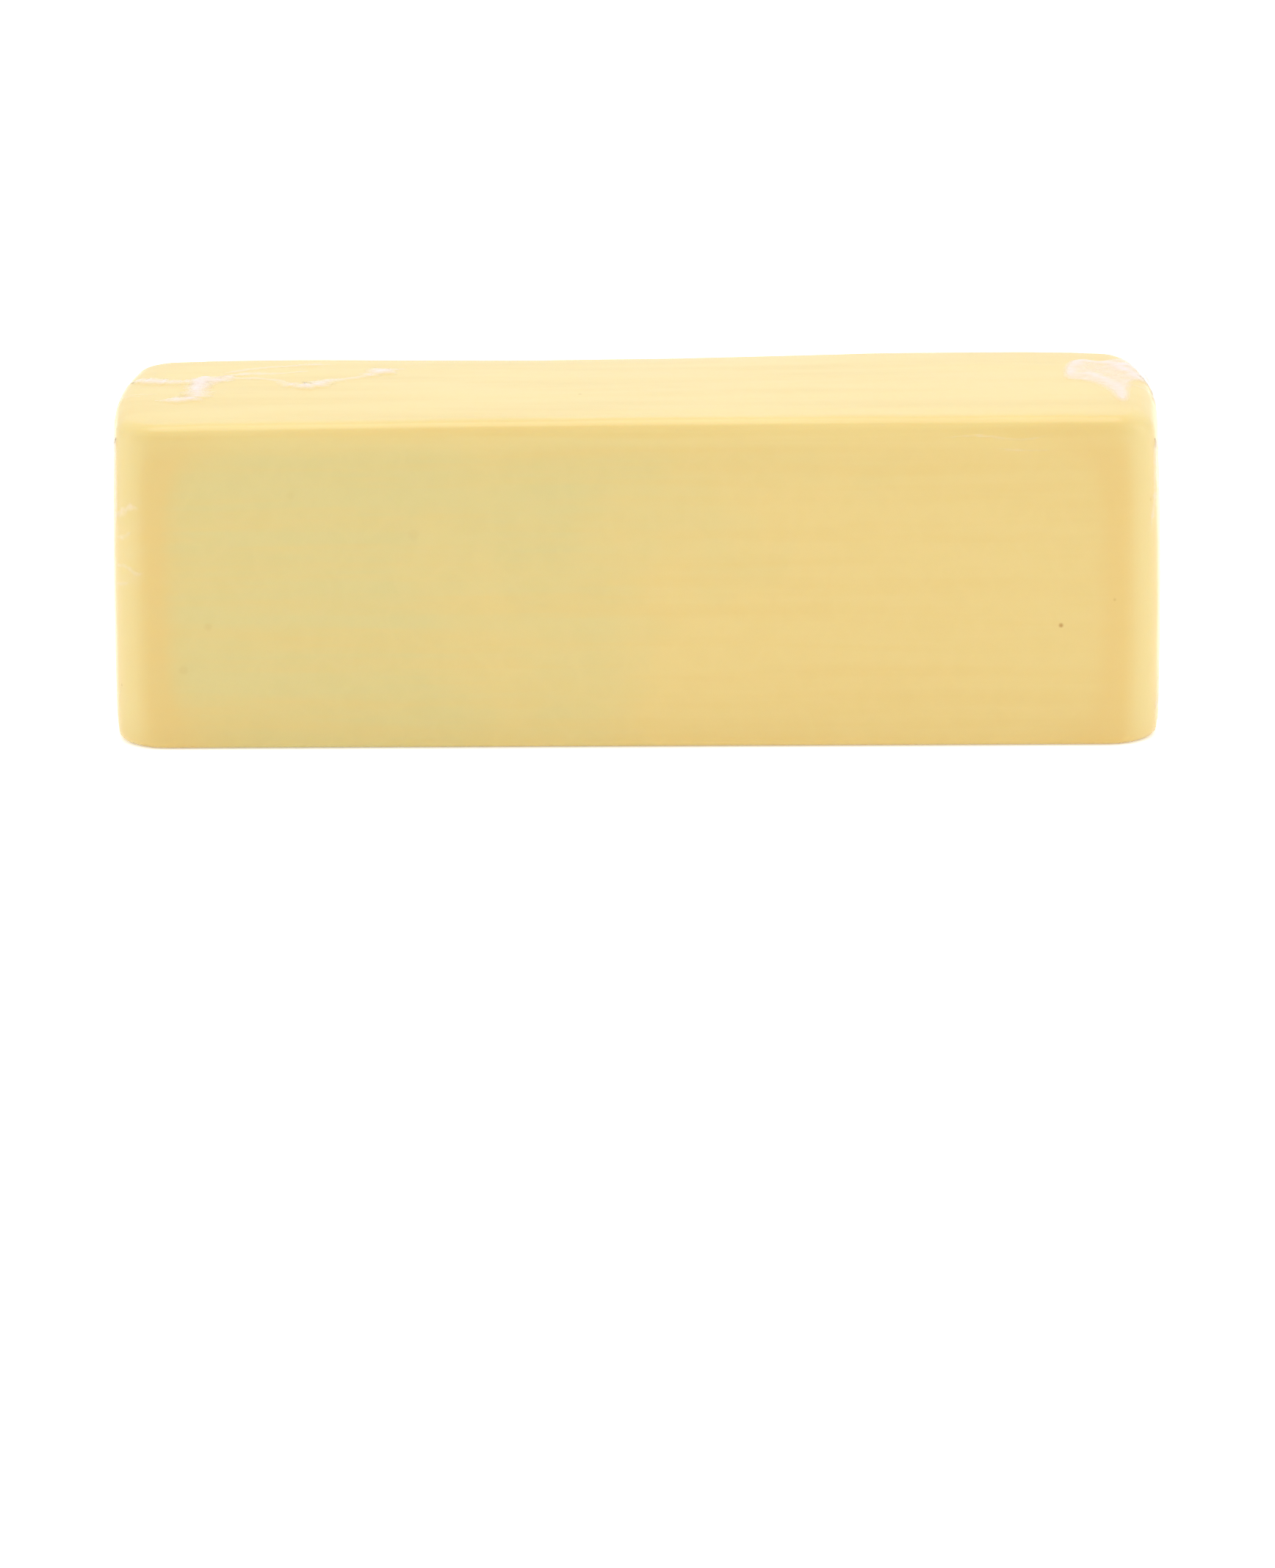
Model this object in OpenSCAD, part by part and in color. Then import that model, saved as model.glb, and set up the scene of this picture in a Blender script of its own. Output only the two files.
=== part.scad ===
// Block of cheddar, about 2.5 kg, shrunk tightly into a clear film bag.
// Millimetres. X runs along the block with +X to the right, -Y is the front, +Z is up.
// The origin is under the middle of the block, on the surface it rests on.

/* [Block] */
// Length between the end faces at their corners, before the ends bulge
block_length = 279; // [200:1:420]
// Depth from the front face to the back face
block_depth = 89; // [60:1:130]
// Height at the middle of the length
block_height = 90.4; // [60:1:150]

/* [Uneven form] */
// How far the left end bulges out at the middle of its depth
left_bulge = 4; // [0:0.1:8]
// How far the right end bulges out at the middle of its depth
right_bulge = 4; // [0:0.1:8]
// How far every side swells out at the middle of its height
side_swell = 0.7; // [0:0.1:3]
// How much longer and deeper the settled base is than the top
base_spread = 3; // [0:0.1:6]
// How much higher the top is at the right end than at the left
top_rise = 1.5; // [0:0.1:5]
// How far the front edge of the top rises towards the middle of its length
front_crown = 0.7; // [0:0.1:4]
// Height of the slow wave along the back edge of the top
back_wave = 0.6; // [0:0.1:2]
// Height of the top's crown across its depth
top_crown = 0.5; // [0:0.1:3]
// How far the back corners of the top sag
corner_sag = 1; // [0:0.1:5]

/* [Edges] */
// Radius of the two upright edges at the front
front_corner_r = 11; // [3:0.5:20]
// Radius of the two upright edges at the back
back_corner_r = 9; // [3:0.5:20]
// Radius of the long edges of the top
long_edge_r = 3.4; // [1:0.1:8]
// Radius of the top's edge at the left end
left_edge_r = 4.2; // [1:0.1:10]
// Radius of the top's edge at the right end
right_edge_r = 7; // [1:0.1:10]
// Radius of the edge round the base
base_edge_r = 1.8; // [0.5:0.1:6]

/* [Film folds] */
// Gap between the film folds and the block that they lie on
film_gap = 0.2; // [0.05:0.05:0.5]
// Thickness of the gathered film in the folds
fold_t = 0.8; // [0.3:0.1:2]
// Width of the pleat's gathered ridge
pleat_w = 2; // [1:0.1:5]
// How far the ear reaches in from the right end
ear_reach = 22; // [10:1:40]
// Width of the ear at its tip
ear_w = 25; // [10:1:40]
// Length of the narrow tail that runs on from the ear towards the front
ear_tail = 26; // [0:1:40]

/* [Hidden] */

half_l = block_length / 2;
half_d = block_depth / 2;

// Steps along each stretch of the outline, and rings up each stretch of the side.
end_steps = 4;
corner_steps = 6;
side_steps = 30;
base_rings = 4;
wall_rings = 10;
edge_rings = 6;
crown_rings = 4;
// Share of the way to the spine at which the last crown ring closes
crown_reach = 0.92;
// Angle that the back wave turns through in half the length, and where it starts
wave_turn = 200;
wave_start = 30;
// Shares of the half length and the half depth beyond which a back corner sags
sag_from_x = 0.5;
sag_from_y = -0.2;

function mix(a, b, t) = a + (b - a) * t;
function clamp(v, low, high) = min(max(v, low), high);
function ramp(t, from, to) = clamp((t - from) / (to - from), 0, 1);
function bow(t) = 1 - t * t;

// One corner arc of the outline, as points [x, y, normal x, normal y].
function corner(side_x, side_y, r, start) = [
    for (i = [1:corner_steps])
        let (a = start + 90 * i / corner_steps)
        [side_x * (half_l - r) + r * cos(a), side_y * (half_d - r) + r * sin(a), cos(a), sin(a)]
];

// A straight stretch from p to q in a number of steps, without its first point.
function stretch(p, q, steps, normal) = [
    for (i = [1:steps])
        [mix(p[0], q[0], i / steps), mix(p[1], q[1], i / steps), normal[0], normal[1]]
];

// The outline in plan, counter-clockwise from the middle of the right end.
outline = concat(
    [[half_l, 0, 1, 0]],
    stretch([half_l, 0], [half_l, half_d - back_corner_r], end_steps, [1, 0]),
    corner(1, 1, back_corner_r, 0),
    stretch([half_l - back_corner_r, half_d], [back_corner_r - half_l, half_d], side_steps, [0, 1]),
    corner(-1, 1, back_corner_r, 90),
    stretch([-half_l, half_d - back_corner_r], [-half_l, 0], end_steps, [-1, 0]),
    stretch([-half_l, 0], [-half_l, front_corner_r - half_d], end_steps, [-1, 0]),
    corner(-1, -1, front_corner_r, 180),
    stretch([front_corner_r - half_l, -half_d], [half_l - front_corner_r, -half_d], side_steps, [0, -1]),
    corner(1, -1, front_corner_r, 270),
    [for (i = [1:end_steps - 1]) [half_l, (front_corner_r - half_d) * (1 - i / end_steps), 1, 0]]
);
outline_n = len(outline);

// Radius of the top edge at an outline point, from how far it faces an end.
function edge_r(p) = mix(long_edge_r, p[2] > 0 ? right_edge_r : left_edge_r, p[2] * p[2]);

// Height of the top surface over a point.
function top_z(x, y) =
    let (u = clamp(x / half_l, -1, 1), v = clamp(y / half_d, -1, 1))
    block_height
    + top_rise / 2 * u
    + front_crown * bow(u) * (1 - v) / 2
    - back_wave * cos(wave_turn * u + wave_start) * (1 + v) / 2
    + top_crown * bow(v)
    - corner_sag * pow(ramp(abs(u), sag_from_x, 1), 2) * ramp(v, sag_from_y, 1);

// An outline point moved in by inset and raised to z, with the swell of the soft block.
function skin_point(p, inset, z) =
    let (
        level = z / block_height,
        swell = side_swell * bow(2 * level - 1),
        settle = base_spread / 2 * (0.5 - level),
        end_bulge = (p[0] > 0 ? right_bulge : left_bulge) * bow(p[1] / half_d),
        out_x = end_bulge + swell + settle - inset,
        out_y = swell * bow(p[0] / half_l) + settle - inset
    )
    [p[0] + p[2] * out_x, p[1] + p[3] * out_y, z];

// Rings of the skin from the base up to the rim of the top.
base_ring = [
    for (i = [0:base_rings - 1])
        let (a = 90 * i / base_rings)
        [for (p = outline) skin_point(p, base_edge_r * (1 - sin(a)), base_edge_r * (1 - cos(a)))]
];
wall_ring = [
    for (i = [0:wall_rings])
        [for (p = outline)
            skin_point(p, 0, mix(base_edge_r, top_z(p[0], p[1]) - edge_r(p), i / wall_rings))]
];
edge_ring = [
    for (i = [1:edge_rings])
        let (a = 90 * i / edge_rings)
        [for (p = outline)
            skin_point(p, edge_r(p) * (1 - cos(a)), top_z(p[0], p[1]) - edge_r(p) * (1 - sin(a)))]
];

// The crown closes from the rim towards a spine along the middle of the top.
spine_half = half_l - half_d;
crown_ring = [
    for (i = [1:crown_rings])
        let (t = crown_reach * i / crown_rings)
        [for (q = edge_ring[edge_rings - 1])
            let (
                x = mix(q[0], clamp(q[0], -spine_half, spine_half), t),
                y = mix(q[1], 0, t)
            )
            [x, y, top_z(x, y)]]
];

rings = concat(base_ring, wall_ring, edge_ring, crown_ring);

// Triangles between neighbouring rings, and across the first and the last ring.
function band_faces(k) = [
    for (i = [0:outline_n - 1])
        let (
            j = (i + 1) % outline_n,
            a = k * outline_n + i,
            b = k * outline_n + j,
            c = a + outline_n,
            d = b + outline_n
        )
        each [[a, c, b], [b, c, d]]
];
function cap_faces(k, flip) = [
    for (i = [0:outline_n / 2 - 1])
        let (
            a = k * outline_n + i,
            b = a + 1,
            c = k * outline_n + (outline_n - i) % outline_n,
            d = k * outline_n + outline_n - i - 1
        )
        each [
            for (f = [[a, b, c], [b, d, c]])
                if (f[0] != f[1] && f[1] != f[2] && f[0] != f[2])
                    flip ? [f[0], f[2], f[1]] : f
        ]
];

// Height of the block's skin over a point on the top or on the right end's rounded edge.
top_settle = -base_spread / 4;
function right_rim(y) = half_l + right_bulge * bow(y / half_d) + top_settle;
function skin_z(x, y) =
    let (over = clamp(x - (right_rim(y) - right_edge_r), 0, right_edge_r))
    top_z(x, y) - right_edge_r + sqrt(right_edge_r * right_edge_r - over * over);

// A smooth curve through a list of points, with a number of steps between neighbours.
function spline_point(a, b, c, d, t) =
    0.5 * (2 * b + (c - a) * t + (2 * a - 5 * b + 4 * c - d) * t * t + (3 * b - a - 3 * c + d) * t * t * t);
function smooth(path, steps) =
    let (last = len(path) - 1)
    concat(
        [
            for (i = [0:last - 1], k = [0:steps - 1])
                spline_point(path[max(i - 1, 0)], path[i], path[i + 1], path[min(i + 2, last)], k / steps)
        ],
        [path[last]]
    );

// The pleat's routes over the top, measured from the block's left end and its middle line.
pleat_steps = 4;
pleat_from_end = [[4, 12], [9, 10], [15, 9], [21, 9], [25, 14]];
pleat_along = [
    [11, -13], [20, -12], [22, 4], [25, 14], [34, 13], [42, 11], [49, 3], [54, 3], [58, 10], [67, 13],
    [72, 22], [77, 32]
];
// Cross-section of the gathered ridge, as shares of its half width and its height
ridge_section = [[1, 0], [0.7, 0.7], [0, 1], [-0.7, 0.7], [-1, 0]];
// How much the ridge swells where the routes meet, and how narrow it starts and ends
knot_gain = 0.9;
knot_reach = 6;
ridge_tip = 0.35;
knot = [25 - half_l, 14];

module ridge(route) {
    path = smooth([for (q = route) [q[0] - half_l, q[1]]], pleat_steps);
    n = len(path);
    m = len(ridge_section);
    points = [
        for (i = [0:n - 1])
            let (
                along = path[min(i + 1, n - 1)] - path[max(i - 1, 0)],
                side = [-along[1], along[0]] / norm(along),
                ends = min(1, ridge_tip + (1 - ridge_tip) * min(i, n - 1 - i) / pleat_steps),
                size = ends * (1 + knot_gain * max(0, 1 - norm(path[i] - knot) / knot_reach))
            )
            for (q = ridge_section)
                let (xy = path[i] + side * q[0] * pleat_w / 2 * size)
                [xy[0], xy[1], top_z(xy[0], xy[1]) + film_gap + q[1] * fold_t * size]
    ];
    walls = [
        for (i = [0:n - 2], j = [0:m - 1])
            let (a = i * m + j, b = i * m + (j + 1) % m)
            each [[a, a + m, b], [b, a + m, b + m]]
    ];
    start_cap = [for (j = [1:m - 2]) [0, j, j + 1]];
    end_cap = [for (j = [1:m - 2]) [(n - 1) * m, (n - 1) * m + j + 1, (n - 1) * m + j]];
    polyhedron(points = points, faces = concat(walls, start_cap, end_cap));
}

module film_pleat() {
    color([0.98, 0.95, 0.9])
        union() {
            ridge(pleat_from_end);
            ridge(pleat_along);
        }
}

// The ear: a corner of the bag folded in over the right end, from its tip to its root.
// Its edges are rolled, and flat_share is how thick the film between them is by comparison.
flat_share = 0.55;
ear_steps = 16;
ear_rows = 8;
ear_root_x = half_l;
ear_tip_y = 22;
ear_root_y = 14;
ear_root_w = 12;
// Shares of the ear's length: where its rounded tip is open, and where its tail starts, peaks and ends
tip_share = 0.25;
tip_blunt = 0.05;
tail_start = 0.3;
tail_peak = 0.68;
tail_end = 0.82;

function tail_reach(u) =
    ear_tail * (u < tail_peak
        ? pow(ramp(u, tail_start, tail_peak), 2)
        : ramp(u, tail_end, tail_peak));
function ear_half(u) =
    mix(ear_w, ear_root_w, u) / 2 * sqrt(bow(1 - max(ramp(u, 0, tip_share), tip_blunt)));
function ear_point(u, v, up) =
    let (
        x = ear_root_x - ear_reach * (1 - u),
        middle = mix(ear_tip_y, ear_root_y, u),
        back = middle + ear_half(u),
        front = middle - ear_half(u) - tail_reach(u),
        y = mix(front, back, v),
        rolled = mix(flat_share, 1, pow(2 * v - 1, 4))
    )
    [x, y, skin_z(x, y) + film_gap + (up ? fold_t * rolled : 0)];

module film_ear() {
    row = ear_rows + 1;
    sheet = (ear_steps + 1) * row;
    points = [
        for (up = [true, false], i = [0:ear_steps], j = [0:ear_rows])
            ear_point(i / ear_steps, j / ear_rows, up)
    ];
    faces = concat(
        [
            for (i = [0:ear_steps - 1], j = [0:ear_rows - 1])
                let (a = i * row + j, b = a + 1, c = a + row, d = b + row)
                each [
                    [a, b, c], [b, d, c],
                    [sheet + a, sheet + c, sheet + b], [sheet + b, sheet + c, sheet + d]
                ]
        ],
        [
            for (i = [0:ear_steps - 1], side = [0, 1])
                let (a = i * row + side * ear_rows, c = a + row)
                each side == 0
                    ? [[a, c, sheet + a], [c, sheet + c, sheet + a]]
                    : [[a, sheet + a, c], [c, sheet + a, sheet + c]]
        ],
        [
            for (j = [0:ear_rows - 1], end = [0, 1])
                let (a = end * ear_steps * row + j, b = a + 1)
                each end == 0
                    ? [[a, sheet + a, b], [b, sheet + a, sheet + b]]
                    : [[a, b, sheet + a], [b, sheet + b, sheet + a]]
        ]
    );
    color([0.98, 0.95, 0.9])
        polyhedron(points = points, faces = faces);
}

module cheese_block() {
    color([0.96, 0.87, 0.63])
        polyhedron(
            points = [for (ring = rings) each ring],
            faces = concat(
                cap_faces(0, false),
                [for (k = [0:len(rings) - 2]) each band_faces(k)],
                cap_faces(len(rings) - 1, true)
            )
        );
}

cheese_block();
film_pleat();
film_ear();
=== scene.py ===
# %% [markdown]
# # A block of cheddar in shrink film
# A catering block of cheddar is cut to shape, slid into a clear bag, and the air is drawn out while hot
# water shrinks the film on to it. What shows is pale cheese under a tight clear skin, with the film that
# was left over gathered into a pleat at one end and folded into an ear at the other. This lesson builds
# the cheese first, then its film, then the folds, and lights them as in a plain white studio.

# %% Load the frame
import math

import bmesh
import bpy
import numpy as np
from mathutils import Matrix, Vector
from mathutils.bvhtree import BVHTree
from mathutils.geometry import delaunay_2d_cdt


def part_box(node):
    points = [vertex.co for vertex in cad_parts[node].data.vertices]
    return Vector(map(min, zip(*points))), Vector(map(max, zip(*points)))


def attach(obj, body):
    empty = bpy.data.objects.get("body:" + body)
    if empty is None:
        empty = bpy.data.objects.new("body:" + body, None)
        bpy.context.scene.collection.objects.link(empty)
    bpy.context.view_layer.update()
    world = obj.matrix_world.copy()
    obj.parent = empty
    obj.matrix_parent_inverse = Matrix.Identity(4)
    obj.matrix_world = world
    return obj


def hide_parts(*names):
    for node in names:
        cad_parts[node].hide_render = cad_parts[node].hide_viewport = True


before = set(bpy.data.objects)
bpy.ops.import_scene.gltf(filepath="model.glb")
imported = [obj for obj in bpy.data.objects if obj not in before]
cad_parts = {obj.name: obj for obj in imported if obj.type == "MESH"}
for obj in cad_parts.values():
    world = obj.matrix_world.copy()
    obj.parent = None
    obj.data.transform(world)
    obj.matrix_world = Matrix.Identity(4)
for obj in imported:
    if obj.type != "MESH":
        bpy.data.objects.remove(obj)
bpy.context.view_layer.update()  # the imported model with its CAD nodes
MM = 0.001

block_low, block_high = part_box("cheese_block")  # the lowest and highest corner of the block's node
LENGTH, DEPTH, HEIGHT = block_high - block_low
print("block is", [round(side / MM, 1) for side in (LENGTH, DEPTH, HEIGHT)], "mm")

# %% [markdown]
# ## Helpers
# Colours are written the way a paint chart gives them, as sRGB hex, while Blender's shaders mix light in
# linear values, so one function turns the first into the second. The next adds a node together with its
# settings and whatever feeds it, which keeps every node tree below readable from top to bottom. Three more
# serve the Geometry Nodes: one starts a tree whose sizes are named inputs, one ends it, and one runs it on
# an object and keeps the result as a plain mesh.

# %% Colours and nodes
def linear(code, alpha=1.0):
    """Linear colour of an sRGB hex code such as F0D090."""
    shares = [int(code[i:i + 2], 16) / 255 for i in (0, 2, 4)]
    return [c / 12.92 if c <= 0.04045 else ((c + 0.055) / 1.055) ** 2.4 for c in shares] + [alpha]


def add_node(tree, kind, settings=None, inputs=None):
    """Add a node, set its properties, and link or set its inputs by name or number."""
    node = tree.nodes.new(kind)
    for name, value in (settings or {}).items():
        setattr(node, name, value)
    for name, value in (inputs or {}).items():
        socket = node.inputs[name]
        if isinstance(value, bpy.types.NodeSocket):
            tree.links.new(value, socket)
        else:
            socket.default_value = value
    return node


print("butter yellow in linear light:", [round(part, 3) for part in linear("D1B976")[:3]])

# %% Geometry Nodes
SOCKET_KINDS = (
    (bpy.types.Material, "NodeSocketMaterial"), (bpy.types.Object, "NodeSocketObject"),
    (float, "NodeSocketFloat"), (int, "NodeSocketInt"))


def new_tree(name, sizes):
    """Start a Geometry Nodes tree with named inputs: numbers, objects and materials."""
    tree = bpy.data.node_groups.new(name, "GeometryNodeTree")
    tree.interface.new_socket("Geometry", in_out="INPUT", socket_type="NodeSocketGeometry")
    for label, value in sizes.items():
        kind = next(socket for type_of, socket in SOCKET_KINDS if isinstance(value, type_of))
        tree.interface.new_socket(label, in_out="INPUT", socket_type=kind)
    tree.interface.new_socket("Geometry", in_out="OUTPUT", socket_type="NodeSocketGeometry")
    return tree, tree.nodes.new("NodeGroupInput").outputs


def finish_tree(tree, geometry, material):
    """End a tree the way the export needs it: real mesh, smooth, with its material."""
    real = add_node(tree, "GeometryNodeRealizeInstances", inputs={"Geometry": geometry})
    smooth = add_node(tree, "GeometryNodeSetShadeSmooth", inputs={"Geometry": real.outputs[0]})
    dressed = add_node(
        tree, "GeometryNodeSetMaterial", inputs={"Geometry": smooth.outputs[0], "Material": material})
    add_node(tree, "NodeGroupOutput", inputs={0: dressed.outputs[0]})


def grow(name, source, tree, sizes):
    """Run a tree on an object and return the result as a plain mesh object at the origin."""
    modifier = source.modifiers.new(tree.name, "NODES")
    modifier.node_group = tree
    for item in tree.interface.items_tree:
        if item.in_out == "INPUT" and item.name in sizes:
            modifier[item.identifier] = sizes[item.name]
    bpy.context.view_layer.update()
    seen = source.evaluated_get(bpy.context.evaluated_depsgraph_get())
    mesh = bpy.data.meshes.new_from_object(seen)
    mesh.name = name
    source.modifiers.remove(modifier)
    piece = bpy.data.objects.new(name, mesh)
    bpy.context.scene.collection.objects.link(piece)
    print(name, "has", sum(len(p.vertices) - 2 for p in mesh.polygons), "triangles")
    return piece


def drop(helper):
    """Delete a helper object that isn't part of the model."""
    bpy.data.objects.remove(helper)


# %% [markdown]
# ## The cheddar's finish
# Young cheddar is a pale butter yellow. Light enters the fat and protein and comes out again a few
# millimetres away, which is what Subsurface does, so edges look soft and the colour deepens where light
# has travelled. The colour isn't even, so it is built up in layers, each by a function that takes the
# colour below and returns the next one. Broad areas drift between a warmer and a greener yellow, and the
# top is painted a little paler, as painted light from above. The cutting wire left long soft streaks,
# and the curds that were pressed together show as very faint cells. A deeper yellow is painted where the
# ends turn into an edge, as painted shade, and the edge itself is painted pale, as a painted highlight.
# The small holes are painted dark, as painted shade inside them. The tight film adds a clear gloss over
# all of it, which is a Coat with plastic's index of 1.5.

# %% Ripening and wire streaks
DRIFT_SIZE = 60 * MM
WARM_SPAN = (-70 * MM, 40 * MM)  # from the greener part to the warmer part, along the block
STREAK_LENGTH = 80 * MM
STREAK_HEIGHT = 3.5 * MM


def ripened_with_painted_top_light(tree, drift, along, painted_top_light_share):
    """Colour that ripened greener at one end and warmer at the other, with painted light that makes the top
    paler.
    """
    lean = add_node(tree, "ShaderNodeMapRange", {"clamp": False}, {
        "Value": along, "From Min": WARM_SPAN[0], "From Max": WARM_SPAN[1]})
    cloud = add_node(tree, "ShaderNodeMapRange", {"clamp": False}, {
        "Value": drift, "From Min": 0.3, "From Max": 0.7, "To Min": -0.6, "To Max": 0.6})
    warm = add_node(tree, "ShaderNodeMath", {"operation": "ADD", "use_clamp": True}, {
        0: lean.outputs[0], 1: cloud.outputs[0]})
    body = add_node(tree, "ShaderNodeMix", {"data_type": "RGBA"}, {
        0: warm.outputs[0], 6: linear("C6B779"), 7: linear("D1B976")})
    # painted light: the top is mixed towards a paler yellow, as if lit from above
    return add_node(tree, "ShaderNodeMix", {"data_type": "RGBA"}, {
        0: painted_top_light_share, 6: body.outputs[2], 7: linear("D6C07E")}).outputs[2]


def streaked(tree, place, below):
    """Colour with long faint streaks from the wire and from the press cloth."""
    stretched = add_node(tree, "ShaderNodeMapping", inputs={
        "Vector": place, "Scale": (STREAK_HEIGHT / STREAK_LENGTH, 0.35, 1.0)})
    streak = add_node(tree, "ShaderNodeTexNoise", inputs={
        "Vector": stretched.outputs[0], "Scale": 1 / STREAK_HEIGHT, "Detail": 3.0})
    share = add_node(tree, "ShaderNodeMapRange", inputs={
        "Value": streak.outputs["Fac"], "From Min": 0.4, "From Max": 0.7, "To Max": 0.55})
    return add_node(tree, "ShaderNodeMix", {"data_type": "RGBA"}, {
        0: share.outputs[0], 6: below, 7: linear("CFB46E")}).outputs[2]


print("streaks", round(STREAK_LENGTH / MM), "mm long, drifts", round(DRIFT_SIZE / MM), "mm wide")

# %% Curds and edges
CURD_SIZE = 9 * MM
PAINTED_END_SHADE_SPAN = (100 * MM, 126 * MM)  # distance from the middle where the ends' painted shade, a deeper yellow, sets in


def knitted(tree, place, below):
    """Colour with the very faint knit of the curds."""
    bent = add_node(tree, "ShaderNodeTexNoise", inputs={"Vector": place, "Scale": 1 / CURD_SIZE})
    shifted = add_node(tree, "ShaderNodeMix", {"data_type": "VECTOR"}, {
        0: 0.012, 4: place, 5: bent.outputs["Color"]})
    curd = add_node(tree, "ShaderNodeTexVoronoi", {"feature": "DISTANCE_TO_EDGE"}, {
        "Vector": shifted.outputs[1], "Scale": 1 / CURD_SIZE})
    seam = add_node(tree, "ShaderNodeMapRange", {"interpolation_type": "SMOOTHSTEP"}, {
        "Value": curd.outputs["Distance"],
        "From Min": 0.0, "From Max": 0.3, "To Min": 0.05, "To Max": 0.0})
    return add_node(tree, "ShaderNodeMix", {"data_type": "RGBA"}, {
        0: seam.outputs[0], 6: below, 7: linear("DEC98C")}).outputs[2]


def painted_edge_shade_and_rim_light(tree, along, painted_top_light_share, below):
    """Colour with painted shade, a deeper yellow, where the ends turn into an edge, and a painted highlight,
    paler, on the edge itself.
    """
    edge = add_node(tree, "ShaderNodeAttribute", {"attribute_name": "edge"})
    from_middle = add_node(tree, "ShaderNodeMath", {"operation": "ABSOLUTE"}, {0: along})
    at_ends = add_node(tree, "ShaderNodeMapRange", {"interpolation_type": "SMOOTHSTEP"}, {
        "Value": from_middle.outputs[0],
        "From Min": PAINTED_END_SHADE_SPAN[0], "From Max": PAINTED_END_SHADE_SPAN[1], "To Min": 0.12, "To Max": 0.7})
    rising = add_node(tree, "ShaderNodeMapRange", {"interpolation_type": "SMOOTHSTEP"}, {
        "Value": edge.outputs["Fac"], "From Min": 0.0, "From Max": 0.12})
    below_top = add_node(tree, "ShaderNodeMapRange", inputs={
        "Value": painted_top_light_share, "To Min": 1.0, "To Max": 0.1})
    edge_shade_place = add_node(tree, "ShaderNodeMath", {"operation": "MULTIPLY"}, {
        0: at_ends.outputs[0], 1: below_top.outputs[0]})
    painted_edge_shade_share = add_node(tree, "ShaderNodeMath", {"operation": "MULTIPLY"}, {
        0: rising.outputs[0], 1: edge_shade_place.outputs[0]})
    # painted shade: a band inside the rounded edges at the ends is mixed towards a deeper yellow
    edge_shaded = add_node(tree, "ShaderNodeMix", {"data_type": "RGBA"}, {
        0: painted_edge_shade_share.outputs[0], 6: below, 7: linear("D0B26C")})
    # painted highlight: the rounded edge itself is mixed towards a paler yellow
    painted_rim_highlight = add_node(tree, "ShaderNodeMapRange", {"interpolation_type": "SMOOTHSTEP"}, {
        "Value": edge.outputs["Fac"], "From Min": 0.2, "From Max": 0.5, "To Max": 0.85})
    return add_node(tree, "ShaderNodeMix", {"data_type": "RGBA"}, {
        0: painted_rim_highlight.outputs[0], 6: edge_shaded.outputs[2], 7: linear("D3BF82")}).outputs[2]


print("curds", round(CURD_SIZE / MM), "mm wide")

# %% Pits
PIT_SPACING = 14 * MM
PITS = (  # place in mm, size in mm, and how dark the painted shade in them is
    ((115, -45.3, 34), 1.0, 0.9), ((129.5, -45.0, 41), 0.8, 0.5), ((133, -44.5, 43), 0.8, 0.35),
    ((-116, -45.2, 34.7), 1.6, 0.12), ((-123, -45.0, 22.5), 1.8, 0.12), ((-60, -45.3, 60), 2.2, 0.08),
    ((-93, -45.3, 71), 2.0, 0.08), ((-61, 10, 91.5), 1.0, 0.6), ((40, 45.2, 52), 1.0, 0.8),
    ((-72, 45.2, 31), 1.2, 0.7), ((144.4, -18, 38), 1.0, 0.7), ((-144.4, 20, 55), 1.1, 0.7))


def pits(tree, place):
    """Share of the small holes between the curds that the wire opened: placed ones and scattered ones. It
    dents the bump and darkens the colour as painted shade.
    """
    spots = add_node(tree, "ShaderNodeTexVoronoi", inputs={"Vector": place, "Scale": 1 / PIT_SPACING})
    spot_pick = add_node(tree, "ShaderNodeSeparateColor", inputs={0: spots.outputs["Color"]})
    chosen = add_node(tree, "ShaderNodeMath", {"operation": "GREATER_THAN"}, {
        0: spot_pick.outputs[0], 1: 0.88})
    dot = add_node(tree, "ShaderNodeMapRange", {"interpolation_type": "SMOOTHSTEP"}, {
        "Value": spots.outputs["Distance"],
        "From Min": 0.02, "From Max": 0.05, "To Min": 0.4, "To Max": 0.0})
    pit = add_node(tree, "ShaderNodeMath", {"operation": "MULTIPLY"}, {
        0: dot.outputs[0], 1: chosen.outputs[0]})
    for spot, size, depth in PITS:
        away = add_node(tree, "ShaderNodeVectorMath", {"operation": "DISTANCE"}, {
            0: place, 1: [part * MM for part in spot]}).outputs["Value"]
        mark = add_node(tree, "ShaderNodeMapRange", {"interpolation_type": "SMOOTHSTEP"}, {
            "Value": away,
            "From Min": size * 0.3 * MM, "From Max": size * MM, "To Min": depth, "To Max": 0.0})
        pit = add_node(tree, "ShaderNodeMath", {"operation": "MAXIMUM"}, {
            0: pit.outputs[0], 1: mark.outputs[0]})
    return pit.outputs[0]


print(len(PITS), "pits placed, others scattered", round(PIT_SPACING / MM), "mm apart")

# %% Cheddar
GRAIN_SIZE = 1.1 * MM
PAINTED_TOP_LIGHT_SPAN = (79 * MM, 91 * MM)  # heights between which the front's colour gives way to the top's paler colour, which is painted light


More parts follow.
